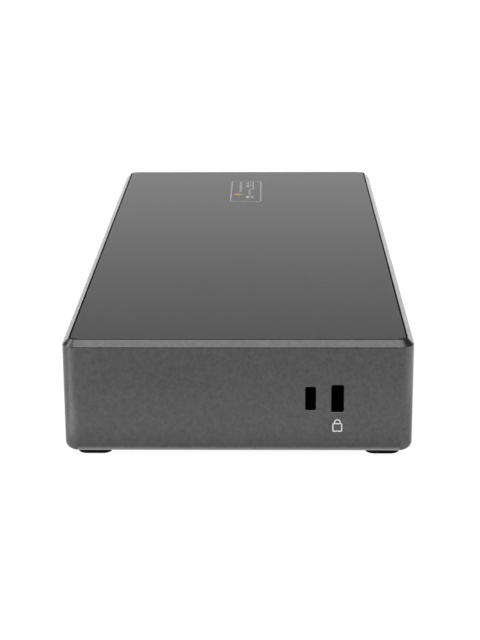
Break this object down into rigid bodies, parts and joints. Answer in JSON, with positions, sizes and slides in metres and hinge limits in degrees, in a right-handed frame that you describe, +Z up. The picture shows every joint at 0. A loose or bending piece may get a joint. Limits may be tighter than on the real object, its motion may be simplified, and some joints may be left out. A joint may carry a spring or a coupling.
{
  "type": "laptop docking station",
  "caption": "Flat dark grey metal docking box with chamfered lid edge, rubber feet, lock slots at one end and port panels along both long sides.",
  "frame": {"origin": "under the middle of the body, on the plane of the rubber feet", "axes": "+X towards the end with the lock slots, -Y towards the front with the power button, +Y towards the rear ports, +Z up"},
  "size_m": [0.21, 0.09, 0.0318],
  "materials": {
    "body_metal": "bead blasted, dyed dark grey and anodised, satin",
    "lid_metal": "bead blasted, dyed dark grey and anodised, satin",
    "black_plastic": "fine moulded texture",
    "rubber_black": "dull moulded rubber",
    "label_film": "satin printed film",
    "black_steel": "zinc plated and passivated black",
    "screw_steel": "nickel plated",
    "brass_nickel": "nickel plated brass",
    "circuit_board": "green solder mask",
    "ribbon": "white polyester ribbon",
    "cream_plastic": "moulded nylon",
    "black_aluminium": "black anodised",
    "white_plastic": "moulded nylon",
    "thermal_pad": "soft silicone pad",
    "chip_epoxy": "moulded epoxy",
    "ferrite": "pressed ferrite",
    "can_aluminium": "drawn can",
    "ceramic": "fired ceramic",
    "port_shell": "nickel plated sheet",
    "port_black": "glass filled nylon",
    "port_blue": "glass filled nylon",
    "gold": "gold plated",
    "lamp": "tinted lens",
    "light_guide": "clear acrylic",
    "led_body": "moulded lamp body",
    "button_plastic": "moulded, satin",
    "plunger_plastic": "moulded nylon"
  },
  "bodies": {
    "dock": {"base_housing": "body_metal", "top_plate": "lid_metal", "lid_standoffs": "brass_nickel", "lid_screws": "screw_steel", "front_bezel": "black_plastic", "rear_bezel": "black_plastic", "rubber_foot_1": "rubber_black", "rubber_foot_2": "rubber_black", "rubber_foot_3": "rubber_black", "rubber_foot_4": "rubber_black", "rating_label": "label_film", "lock_plate": "black_steel", "lock_plate_screws": "screw_steel", "main_board": "circuit_board", "front_board": "circuit_board", "board_screws": "screw_steel", "flat_cable": "ribbon", "cable_connectors": "cream_plastic", "heat_sink": "black_aluminium", "heat_sink_pins": "white_plastic", "thermal_pads": "thermal_pad", "video_chips": "chip_epoxy", "hub_chip": "chip_epoxy", "network_chip": "chip_epoxy", "power_controller": "chip_epoxy", "power_inductors": "ferrite", "capacitor_cans": "can_aluminium", "crystals": "can_aluminium", "ceramic_parts": "ceramic", "dc_jack_body": "port_black", "dc_jack_pin": "brass_nickel", "host_port_shell": "port_shell", "host_port_tongue": "port_black", "network_port_shell": "port_shell", "network_port_insert": "port_black", "network_contacts": "gold", "network_lights": "lamp", "usb_stack_shell_1": "port_shell", "usb_stack_shell_2": "port_shell", "usb_stack_tongues": "port_blue", "wide_video_shell_1": "port_shell", "wide_video_shell_2": "port_shell", "slim_video_shell_1": "port_shell", "slim_video_shell_2": "port_shell", "video_tongues": "port_black", "front_usb_shell_1": "port_shell", "front_usb_shell_2": "port_shell", "front_usb_tongues": "port_blue", "front_c_shell": "port_shell", "front_c_tongue": "port_black", "audio_jack_body": "port_black", "audio_jack_sleeve": "brass_nickel", "switch_body": "port_black", "light_pipe": "light_guide", "status_led": "led_body", "port_contacts": "gold"},
    "button": {"power_button": "button_plastic"},
    "plunger": {"switch_plunger": "plunger_plastic"}
  },
  "joints": [
    {"name": "power_button_press", "type": "slide", "parent": "dock", "child": "button", "axis": [0, 1, 0], "range_m": [0, 0.0005], "stiffness_N_per_m": 800},
    {"name": "switch_plunger_press", "type": "slide", "parent": "dock", "child": "plunger", "axis": [0, 1, 0], "range_m": [0, 0.0007]}
  ],
  "couplings": [
    {"joint": "switch_plunger_press", "follows": "power_button_press", "ratio": 1}
  ]
}
